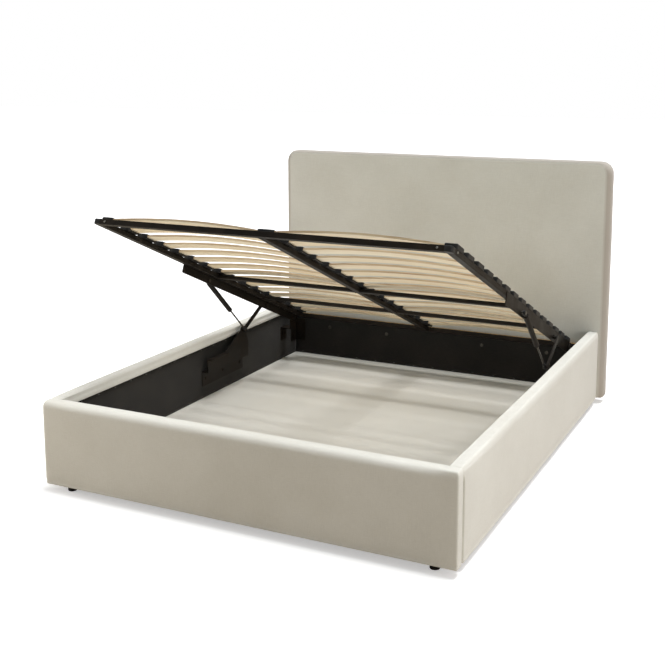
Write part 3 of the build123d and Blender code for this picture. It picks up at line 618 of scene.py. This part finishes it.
def settle(piece, stapled):
    """Let a cover settle as cloth on its foam, held where it is stapled, and keep its shape."""
    hold = piece.vertex_groups.new(name="hold")
    hold.add(range(len(piece.data.vertices)), foam_hold, "REPLACE")
    hold.add(stapled, 1.0, "REPLACE")
    modifier = piece.modifiers.new("cloth", "CLOTH")
    cloth = modifier.settings
    cloth.quality = 6
    cloth.mass = 0.35
    cloth.tension_stiffness = cloth.compression_stiffness = 20
    cloth.shear_stiffness = 8
    cloth.bending_stiffness = 1.5
    cloth.vertex_group_mass = "hold"
    cloth.pin_stiffness = 1.5
    cloth.use_pressure = True
    cloth.uniform_pressure_force = 3.5
    modifier.point_cache.frame_end = settle_frames
    scene = bpy.context.scene
    for number in range(1, settle_frames + 1):
        scene.frame_set(number)
    settled = piece.evaluated_get(bpy.context.evaluated_depsgraph_get()).data
    moves = [after.co - before.co for after, before in zip(settled.vertices, piece.data.vertices)]
    piece.modifiers.remove(modifier)
    scene.frame_set(1)
    for point, move in zip(piece.data.vertices, moves):
        point.co += move * min(1.0, settle_most / max(move.length, 1e-9))
    piece.vertex_groups.clear()
    furthest = min(settle_most, max(move.length for move in moves)) / millimetre
    print(piece.name, "held at", len(stapled), "points, settled by up to", round(furthest, 2), "mm")


def finish_cover(name, net):
    """Turn a net into a cover of the box with its thickness, smoothing and finish."""
    bmesh.ops.recalc_face_normals(net, faces=net.faces)
    net.verts.index_update()
    stapled = [point.index for point in net.verts if point.is_boundary]
    piece = new_piece(name, net, "upholstery_fabric")
    settle(piece, stapled)
    wall = piece.modifiers.new("thickness", "SOLIDIFY")
    wall.thickness = cover_padding
    wall.offset = -1
    smooth = piece.modifiers.new("smoothing", "SUBSURF")
    smooth.levels = smooth.render_levels = 1
    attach(piece, "bed_box")
    return piece


print("net step", round(net_step / millimetre), "mm")

# %% [markdown]
# The footboard's cover is one box-shaped sleeve: front, top, both ends and a flap that
# folds over to the storage side. Its ends run past the side rails, so the joint shows as
# an upright groove on each side of the bed.

# %% Footboard cover
left_roll = 0.018
right_roll = 0.005
top_roll = 0.028
top_depth = 0.0235
corner_reach = 0.15
inner_roll = 0.006
joint_roll = 0.006
hidden_roll = 0.0008
panel_crown = 0.0025
foot_low, foot_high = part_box("footboard_upholstery")
board_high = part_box("footboard_board")[1]
rail_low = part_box("side_rail_upholstery_right")[0]
flap_gap = 0.0003
flap_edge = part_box("lining_foot")[1][2] + flap_gap
flap_end = 0.024
before_rail = 0.02
past_rail = 0.005


def fade(value, start, end):
    """0 before the start, 1 past the end, and a smooth climb between them."""
    share = min(max((value - start) / (end - start), 0.0), 1.0)
    return share * share * (3 - 2 * share)


def joint_roll_at(height, top):
    """How far the cloth rolls into an upright joint, which closes towards the top."""
    return joint_roll + (hidden_roll - joint_roll) * fade(height, top - 2 * top_roll, top - top_roll)


def footboard_cover():
    """The padded sleeve of the footboard."""
    low = Vector(foot_low)
    high = Vector(foot_high)
    middle = (low.y + high.y) / 2
    far = abs(board_high[0]) - flap_end
    lists = [
        spaced(low.x, high.x, net_step, [
            *edge_marks(low.x, high.x, left_roll), high.x - right_roll / 2, -far, far,
        ]),
        spaced(low.y, high.y, net_step, [
            *edge_marks(low.y, high.y, inner_roll), *edge_marks(low.y, high.y, left_roll),
        ]),
        spaced(low.z, high.z, net_step, [
            *edge_marks(low.z, high.z, top_roll), high.z - inner_roll, high.z - inner_roll / 2, flap_edge,
        ]),
    ]

    def keep(middle, axis, side):
        if axis == 2:
            return side > 0
        behind = axis == 1 and side > 0
        return not (behind and abs(middle.x) < far and middle.z < flap_edge)

    net = wrap_block(lists, keep)
    for point in net.verts:
        side_roll = left_roll if point.co.x < 0 else right_roll
        open_share = 1 - fade(abs(point.co.x), rail_low[0] - before_rail, rail_low[0] + past_rail)
        from_end = (point.co.x - low.x) if point.co.x < 0 else (high.x - point.co.x)
        at_end = 1 - fade(from_end, side_roll, corner_reach)
        radii = Vector((side_roll, top_depth + (side_roll - top_depth) * at_end, top_roll))
        if point.co.y > middle:
            in_joint = joint_roll_at(point.co.z, high.z)
            radii.y = in_joint + (inner_roll - in_joint) * open_share
            radii.z = top_roll + (inner_roll - top_roll) * open_share
        core_low = low + Vector((radii.x, radii.y, -1))
        core_high = high - radii
        at, outwards = stand_off(point.co, core_low, core_high, radii)
        on_joint = open_share < 0.5 and point.co.y > high.y - 2 * joint_roll
        seam = 0.0 if on_joint else point.co.z - low.z
        if outwards.y > 0.5:
            seam = min(seam, abs(point.co.z - flap_edge))
        point.co = at + outwards * soft_height(at, seam, panel_crown, 1.7)
    return finish_cover("footboard_cover", net)


footboard = footboard_cover()
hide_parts("footboard_upholstery")
print("footboard cover:", len(footboard.data.polygons), "quads")

# %% [markdown]
# A side rail's cover is the same sleeve, turned along the bed. Its ends press against the
# footboard and the headboard, so it is left open there, with the outer edge rolled in a
# little at both ends. Its foam stops short of the footboard, and the cloth is pulled down to
# the board there, which leaves the dark upright joint. At the head end the roll is larger, as
# a soft rounded corner.

# %% Side rail covers
outer_roll = 0.010
end_roll = 0.009
joint_gap = 0.011
joint_turn = 0.002
joint_depth = 0.0095
joint_reach = 0.1
head_roll = 0.024
roll_share = 0.8
inner_share = 0.3


def side_rail_cover(side, name):
    """The padded sleeve of one side rail; side is 1 on the right and -1 on the left."""
    cad_low, cad_high = box_corners(f"side_rail_upholstery_{name}")
    inner, outer = sorted((abs(cad_low.x), abs(cad_high.x)))
    low = Vector((inner, cad_low.y, cad_low.z))
    high = Vector((outer, cad_high.y, cad_high.z))
    middle = (low.x + high.x) / 2
    lists = [
        spaced(low.x, high.x, net_step, [
            *edge_marks(low.x, high.x, inner_roll), *edge_marks(low.x, high.x, outer_roll),
        ]),
        spaced(low.y, high.y, net_step, [
            low.y + joint_turn, *edge_marks(low.y, high.y, end_roll), *edge_marks(low.y, high.y, head_roll),
        ]),
        spaced(low.z, high.z, net_step, [
            *edge_marks(low.z, high.z, top_roll), high.z - inner_roll, high.z - inner_roll / 2, flap_edge,
        ]),
    ]

    def keep(middle, axis, way):
        if axis == 1 or (axis == 2 and way < 0):
            return False
        return not (axis == 0 and way < 0 and middle.z < flap_edge)

    net = wrap_block(lists, keep)
    for point in net.verts:
        radii = Vector((outer_roll, 1, top_roll) if point.co.x > middle else (inner_roll, 1, inner_roll))
        core_low = low + Vector((radii.x, -1, -1))
        core_high = high - Vector((radii.x, -1, radii.z))
        at, outwards = stand_off(point.co, core_low, core_high, radii)
        from_foot = point.co.y - low.y
        from_head = high.y - point.co.y
        seam = min(point.co.z - low.z, from_foot, from_head)
        if outwards.x < -0.5:
            seam = min(seam, abs(point.co.z - flap_edge))
        drawn_in = 0.0
        open_joint = joint_roll_at(point.co.z, high.z) / joint_roll
        foot_roll = end_roll * open_joint
        for distance, roll in ((from_foot, foot_roll), (from_head, head_roll)):
            if distance < roll:
                drawn_in += roll_share * (roll - math.sqrt(roll ** 2 - (roll - distance) ** 2))
        if outwards.x < 0:
            drawn_in *= inner_share
        elif from_foot < 1.5 * joint_turn:
            drawn_in = joint_depth * open_joint
            at.y += (joint_gap - joint_turn) * open_joint if from_foot > 0.5 * joint_turn else 0.0
        else:
            at.y += joint_gap * open_joint * max(0.0, 1 - from_foot / joint_reach)
        at = at + outwards * (soft_height(at, seam, panel_crown, 4.1 * side) - drawn_in)
        point.co = Vector((at.x * side, at.y, at.z))
    return finish_cover(f"side_rail_cover_{name}", net)


for side, name in ((1, "right"), (-1, "left")):
    rail = side_rail_cover(side, name)
    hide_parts(f"side_rail_upholstery_{name}")
    print("side rail cover:", name, len(rail.data.polygons), "quads")

# %% [markdown]
# The headboard is a thick slab with rounded upper corners. The square net is first drawn
# into the corner's quarter disc, and then rolled over the front edge, so that the rows of
# the net follow the outline as the threads of a pulled cover do. Its ends and its top are
# painted darker than its front, as painted shade.

# %% Headboard cover
headboard_corner = 0.058
front_roll = 0.014
side_front_roll = 0.034
back_roll = 0.006
back_turn = 0.020
headboard_crown = 0.004
headboard_step = 0.0185
small = 1e-6
# Painted shade for the headboard's ends and top.
headboard_painted_shade = screen_color(192, 184, 175)


def headboard_cover():
    """The padded cover of the headboard: front, sides, top, and a narrow turn behind."""
    low, high = box_corners("headboard_upholstery")
    board_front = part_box("headboard_board")[0][1]
    low = low + Vector((1, 1, 0)) * headboard_crown * 0.5
    high = high - Vector((1, 0, 1)) * headboard_crown * 0.5
    core_low = Vector((low.x + headboard_corner, low.z))
    core_high = Vector((high.x - headboard_corner, high.z - headboard_corner))
    turn_in = high.x - back_turn
    corner_marks = edge_marks(low.x, high.x, headboard_corner) + edge_marks(low.x, high.x, side_front_roll)
    lists = [
        spaced(low.x, high.x, headboard_step, [*corner_marks, -turn_in, turn_in]),
        spaced(low.y, high.y, headboard_step / 2, [
            low.y + front_roll, low.y + side_front_roll, high.y - back_roll, board_front,
        ]),
        spaced(low.z, high.z, headboard_step, [
            *edge_marks(-high.z, high.z, headboard_corner), *edge_marks(-high.z, high.z, front_roll),
            high.z - back_turn,
        ]),
    ]

    def keep(middle, axis, side):
        if axis == 2 and side < 0:
            return middle.y < board_front - millimetre
        if axis == 1 and side > 0:
            return abs(middle.x) > turn_in or middle.z > high.z - back_turn
        return True

    net = wrap_block(lists, keep)
    for point in net.verts:
        flat = Vector((point.co.x, point.co.z))
        near = Vector((min(max(flat.x, core_low.x), core_high.x), min(flat.y, core_high.y)))
        out = flat - near
        reach = out.length
        if reach > 1e-9:
            reach = max(abs(out.x), abs(out.y))
        way = out.normalized() if reach > 1e-9 else Vector((0, 0))
        depth = point.co.y
        front = front_roll + (side_front_roll - front_roll) * abs(way.x)
        roll = front if depth < low.y + front else back_roll
        edge = headboard_corner - roll
        centre_depth = min(max(depth, low.y + front), high.y - back_roll)
        outwards = Vector((0, depth - centre_depth, 0))
        under = point.co.z < low.z + small and depth > low.y + small and reach < headboard_corner - small
        if reach > edge and under:
            widest = edge + Vector((roll, depth - centre_depth)).normalized().x * roll
            reach *= widest / headboard_corner
        elif reach > edge:
            bend = Vector((reach - edge, depth - centre_depth)).normalized()
            reach = edge + bend.x * roll
            depth = centre_depth + bend.y * roll
            outwards = Vector((way.x * bend.x, bend.y, way.y * bend.x))
        at = Vector((near.x + way.x * reach, depth, near.y + way.y * reach))
        outwards = outwards.normalized() if outwards.length > 1e-9 else Vector()
        seam = min(high.y - depth, at.z - low.z + 0.01)
        point.co = at + outwards * soft_height(at, seam, headboard_crown, 8.3)
    return finish_cover("headboard_cover", net)


headboard = headboard_cover()
# The headboard's cloth is painted darker on its ends and top, as painted shade.
headboard.data.materials[0] = cover_cloth("headboard_cloth", headboard_painted_shade)
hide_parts("headboard_upholstery")
print("headboard cover:", len(headboard.data.polygons), "quads")

# %% [markdown]
# The linings and the headboard's back are thin cloth, stapled along their edges. Stretched
# cloth is never quite flat: it lies close at the staples and stands off a little between
# them, in shallow waves that run across the pull.

# %% Lining sheets
sheet_thickness = 0.0012
staple_pitch = 0.11
sheet_step = 0.02
pulled_reach = 0.04
edge_reach = 0.01


def stretched_sheet(name, node, normal_axis, facing, ripple):
    """A stapled sheet in the place of a thin solid; facing says which way it looks."""
    low, high = box_corners(node)
    first, second = (normal_axis + 1) % 3, (normal_axis + 2) % 3
    rows = spaced(low[first], high[first], sheet_step)
    columns = spaced(low[second], high[second], sheet_step)
    face = high[normal_axis] if facing > 0 else low[normal_axis]
    net = bmesh.new()
    points = {}
    for i, a in enumerate(rows):
        for j, b in enumerate(columns):
            from_edge = min(a - low[first], high[first] - a, b - low[second], high[second] - b)
            between_staples = math.sin(math.pi * (a + b) / staple_pitch) ** 2
            pulled = math.exp(-from_edge / pulled_reach)
            spot = Vector()
            spot[normal_axis] = face
            spot[first] = a
            spot[second] = b
            slack = 0.5 + 0.5 * noise.noise(spot * 4.3)
            wave = ripple * (slack * (1 - pulled) + 0.35 * between_staples * pulled)
            edge = min(1.0, from_edge / edge_reach)
            spot[normal_axis] = face + facing * wave * edge
            points[i, j] = net.verts.new(spot)
    for i in range(len(rows) - 1):
        for j in range(len(columns) - 1):
            quad = [points[i, j], points[i + 1, j], points[i + 1, j + 1], points[i, j + 1]]
            net.faces.new(quad if facing > 0 else quad[::-1])
    piece = new_piece(name, net, "lining_fabric")
    wall = piece.modifiers.new("thickness", "SOLIDIFY")
    wall.thickness = sheet_thickness
    wall.offset = -1
    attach(piece, "bed_box")
    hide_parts(node)
    return piece


sheets = [
    stretched_sheet("lining_sheet_foot", "lining_foot", 1, 1, 0.0015),
    stretched_sheet("lining_sheet_head", "lining_head", 1, -1, 0.0015),
    stretched_sheet("lining_sheet_left", "lining_left", 0, 1, 0.0015),
    stretched_sheet("lining_sheet_right", "lining_right", 0, -1, 0.0015),
    stretched_sheet("headboard_back_sheet", "headboard_back_cloth", 1, 1, 0.002),
]
print("sheets:", ", ".join(sheet.name for sheet in sheets))

# %% [markdown]
# Each stay ends in a pin that runs in a slot of the upper plate. On the storage side a
# pressed cap covers the slot and the pin's head, so that nothing can catch there. Its
# outline is a straight-sided oval, stepped inwards where the sheet bends over to the top.

# %% Slot caps
cap_rise = 0.0068
cap_bend = 0.0012
cap_radius = 0.0128
cap_half_length = 0.0195
cap_turns = 12
bend_steps = 4
stay_pin_in = 0.011
pin_travel = 0.0228
pin_drift = 0.0042


def turned(point, angle):
    """A point turned about the hinge line by an angle."""
    y, z = point[1] - hinge_place.y, point[2] - hinge_place.z
    near, over = math.cos(angle), math.sin(angle)
    return Vector((
        point[0], hinge_place.y + y * near - z * over, hinge_place.z + y * over + z * near,
    ))


def lowered(point):
    """A point of the raised base, as it lies when the base is shut."""
    return turned(point, lift_angle)


def raised(point):
    """A point of the shut base, as it lies when the base is raised."""
    return turned(point, -lift_angle)


def finish_piece(name, net, slot, body):
    """Turn a net of a hard piece into an object with its finish and body."""
    bmesh.ops.recalc_face_normals(net, faces=net.faces)
    piece = new_piece(name, net, slot)
    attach(piece, body)
    return piece


def slot_cap(side, name):
    """The cap over the slot of one upper plate; side is 1 on the right and -1 on the left."""
    plate_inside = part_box("upper_plate_right")[0][0]
    stay_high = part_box("support_stay_right")[1]
    pin = lowered((0, stay_high[1] - stay_pin_in, stay_high[2] - stay_pin_in))
    middle_y, middle_z = pin.y + pin_travel, pin.z + pin_drift
    bend = [math.pi / 2 * step / bend_steps for step in range(bend_steps + 1)]
    layers = [(0.0, 0.0)] + [
        (cap_bend * (1 - math.cos(turn)), cap_rise - cap_bend * (1 - math.sin(turn))) for turn in bend
    ]
    net = bmesh.new()
    rings = []
    for inset, rise in layers:
        radius = cap_radius - inset
        ring = []
        for end in (1, -1):
            for step in range(cap_turns + 1):
                turn = math.pi * step / cap_turns - math.pi / 2
                y = middle_y + end * (cap_half_length + radius * math.cos(turn))
                z = middle_z + end * radius * math.sin(turn)
                ring.append(net.verts.new(raised((side * (plate_inside - rise), y, z))))
        rings.append(ring)
    for first, second in zip(rings, rings[1:]):
        for number, point in enumerate(first):
            after = (number + 1) % len(first)
            net.faces.new((point, first[after], second[after], second[number]))
    net.faces.new(rings[-1])
    return finish_piece(f"slot_cap_{name}", net, "black_steel", "slatted_base")


for side, name in ((1, "right"), (-1, "left")):
    cap = slot_cap(side, name)
    print(cap.name, len(cap.data.polygons), "faces")

# %% [markdown]
# The tubes of the base are welded where they meet. A weld is a string of small overlapping
# drops, so each bead here is a thin tube swept round the joint, whose radius swells and
# shrinks at the pace of the drops. It is laid out on the flat base and raised with it.

# %% Weld beads
bead_radius = 0.0017
bead_swell = 0.25
bead_unevenness = 0.15
drop_pitch = 0.0032
drop_steps = 4
bead_sides = 8


def flat_box(node):
    """Lowest and highest corners of a solid of the base when it is shut."""
    spots = [lowered(point.co) for point in bpy.data.objects[node].data.vertices]
    return Vector(map(min, zip(*spots))), Vector(map(max, zip(*spots)))


def swept_bead(net, corners):
    """Sweep a rippled bead along straight runs between corners that close on themselves."""
    for start, end in zip(corners, corners[1:] + corners[:1]):
        run = end - start
        way = run.normalized()
        across = way.orthogonal().normalized()
        up = way.cross(across)
        steps = max(drop_steps, round(run.length / drop_pitch * drop_steps))
        rings = []
        for number in range(steps + 1):
            centre = start + run * number / steps
            swell = abs(math.sin(math.pi * number / drop_steps))
            uneven = bead_unevenness * noise.noise(centre * 300)
            radius = bead_radius * (1 + bead_swell * swell + uneven)
            ring = []
            for turn in range(bead_sides):
                angle = math.tau * turn / bead_sides
                out = across * math.cos(angle) + up * math.sin(angle)
                ring.append(net.verts.new(raised(centre + out * radius)))
            rings.append(ring)
        for first, second in zip(rings, rings[1:]):
            for turn in range(bead_sides):
                after = (turn + 1) % bead_sides
                net.faces.new((first[turn], first[after], second[after], second[turn]))
        net.faces.new(rings[0][::-1])
        net.faces.new(rings[-1])


def weld_beads():
    """Beads round the ends of the cross tubes, on the side tubes and on the centre tube."""
    net = bmesh.new()
    side_low = flat_box("frame_side_tube_right")[0]
    centre_low, centre_high = flat_box("frame_centre_tube")
    count = 0
    for node in ("frame_cross_tube_front", "frame_cross_tube_rear"):
        low, high = flat_box(node)
        for x in (-side_low.x, centre_low.x, centre_high.x, side_low.x):
            spots = ((low.y, low.z), (high.y, low.z), (high.y, high.z), (low.y, high.z))
            swept_bead(net, [Vector((x, y, z)) for y, z in spots])
            count += 1
    beads = finish_piece("weld_beads", net, "black_steel", "slatted_base")
    print(count, "welded joints,", len(beads.data.polygons), "faces")


weld_beads()

# %% [markdown]
# Staples hold the linings along their edges and the cloth on the headboard's back. Each is a
# flat crown of wire with its corners bent over. One crown is made as a bevelled bar and
# repeated where the sheet lies close to the board.

# %% Staples
crown_length = 0.010
crown_width = 0.0012
crown_height = 0.0007
staple_inset = 0.008
crown_gap = 0.0002


def staple_row(name, node, normal_axis, facing):
    """Staples along the top and the bottom edge of a sheet."""
    low, high = box_corners(node)
    along = 1 if normal_axis == 0 else 0
    face = high[normal_axis] if facing > 0 else low[normal_axis]
    net = bmesh.new()
    count = 0
    for height in (low.z + staple_inset, high.z - staple_inset):
        number = math.ceil((low[along] + 2 * staple_inset) / staple_pitch)
        while number * staple_pitch < high[along] - 2 * staple_inset:
            size = Vector((crown_length, crown_length, crown_width))
            size[normal_axis] = crown_height
            made = bmesh.ops.create_cube(net, size=1.0)["verts"]
            place = Vector((0, 0, height))
            place[along] = number * staple_pitch
            place[normal_axis] = face + facing * (crown_height / 2 + crown_gap)
            for point in made:
                point.co = Vector(part * length for part, length in zip(point.co, size)) + place
            count += 1
            number += 1
    bmesh.ops.bevel(net, geom=net.edges[:], offset=crown_height * 0.3, segments=2, affect="EDGES")
    finish_piece(name, net, "zinc_steel", "bed_box")
    print(name, count)


staple_row("staples_foot", "lining_foot", 1, 1)
staple_row("staples_head", "lining_head", 1, -1)
staple_row("staples_left", "lining_left", 0, 1)
staple_row("staples_right", "lining_right", 0, -1)
staple_row("staples_back", "headboard_back_cloth", 1, 1)

# %% [markdown]
# The studio is a pale floor in plain soft light. A broad sun from above and a little
# behind lights the tops and leaves the footboard in soft shade. A lamp on each side lights
# the rails, one over the bed fills the headboard, a weak one at the left front grades the
# footboard, and a very weak one on the storage floor lifts the undersides of the slats.
# The background is white only where it is seen directly, so it adds no light to the bed and
# doesn't shine in the black steel.

# %% Floor and light
floor_side = 60
floor_bounce = (0.50, 0.44, 0.355, 1)
floor_seen = (0.82, 0.82, 0.82, 1)
floor_glow = 0.45
white = (1, 1, 1, 1)
room_light = (0.97, 0.985, 1.0, 1)
room_strength = 0.2
sun_way = (0.18, 0.12, 0.92)
sun_strength = 3.25
sun_spread = math.radians(25)


def seen_directly(tree):
    """1 for the camera's rays and for rays that glass sends on, else 0."""
    path = add_node(tree, "LightPath").outputs
    return maths(tree, "MAXIMUM", path["Is Camera Ray"], path["Is Transmission Ray"])


def studio_floor():
    """The pale floor under the bed."""
    mesh = bpy.data.meshes.new("studio_floor")
    half = floor_side / 2
    corners = [(-half, -half, 0), (half, -half, 0), (half, half, 0), (-half, half, 0)]
    mesh.from_pydata(corners, [], [(0, 1, 2, 3)])
    floor = bpy.data.objects.new("studio_floor", mesh)
    bpy.context.scene.collection.objects.link(floor)
    material, tree, shader = start_finish(
        "studio_floor", Roughness=0.9, Specular_IOR_Level=0.0, Emission_Color=white,
    )
    seen = seen_directly(tree)
    tree.links.new(between(tree, seen, floor_bounce, floor_seen), shader.inputs["Base Color"])
    tree.links.new(maths(tree, "MULTIPLY", seen, floor_glow), shader.inputs["Emission Strength"])
    mesh.materials.append(material)
    floor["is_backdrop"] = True


def studio_room():
    """Light from all round, white where it is seen directly."""
    world = bpy.data.worlds.new("studio_room")
    world.use_nodes = True
    bpy.context.scene.world = world
    tree = world.node_tree
    background = tree.nodes["Background"]
    seen = seen_directly(tree)
    tree.links.new(between(tree, seen, room_light, white), background.inputs["Color"])
    tree.links.new(spread(tree, seen, 0.0, 1.0, room_strength, 1.0), background.inputs["Strength"])


def studio_lamp(name, place, target, size, power, color=(1.0, 1.0, 1.0)):
    """A square soft lamp that looks at a point."""
    data = bpy.data.lights.new(name, "AREA")
    data.size = size
    data.energy = power
    data.color = color
    lamp = bpy.data.objects.new(name, data)
    lamp.location = place
    lamp.rotation_euler = (Vector(target) - Vector(place)).to_track_quat("-Z", "Y").to_euler()
    lamp.visible_camera = False
    bpy.context.scene.collection.objects.link(lamp)


def studio_sun():
    """The broad key light."""
    data = bpy.data.lights.new("key_sun", "SUN")
    data.energy = sun_strength
    data.angle = sun_spread
    sun = bpy.data.objects.new("key_sun", data)
    sun.rotation_euler = Vector(sun_way).to_track_quat("Z", "Y").to_euler()
    bpy.context.scene.collection.objects.link(sun)


studio_floor()
studio_room()
studio_sun()
studio_lamp("side_lamp", (3.5, -1.3, 1.2), (0.855, -0.3, 0.2), 1.6, 27)
studio_lamp("headboard_lamp", (0.3, -0.7, 2.9), (0.2, 1.0, 0.8), 1.6, 4.4, (0.45, 0.97, 1.0))
studio_lamp("left_lamp", (-3.9, -1.0, 0.3), (-0.3, -0.6, 0.6), 1.2, 52)
studio_lamp("slat_lamp", (0.0, -0.3, 0.1), (0.0, -0.3, 1.0), 1.3, 2.6, (1.0, 0.97, 0.93))
studio_lamp("fill_lamp", (-1.9, -2.0, 1.0), (-0.8, -1.07, 0.2), 1.0, 9, (1.0, 0.97, 0.9))
print("room strength", room_strength, "sun strength", sun_strength)

# %% [markdown]
# The finished piece is measured: the bounds of all that is shown, without the floor.

# %% Measure and finish
visual_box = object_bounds()
low, high = ([round(part, 3) for part in corner] for corner in visual_box)
print("visual from", low, "to", high)
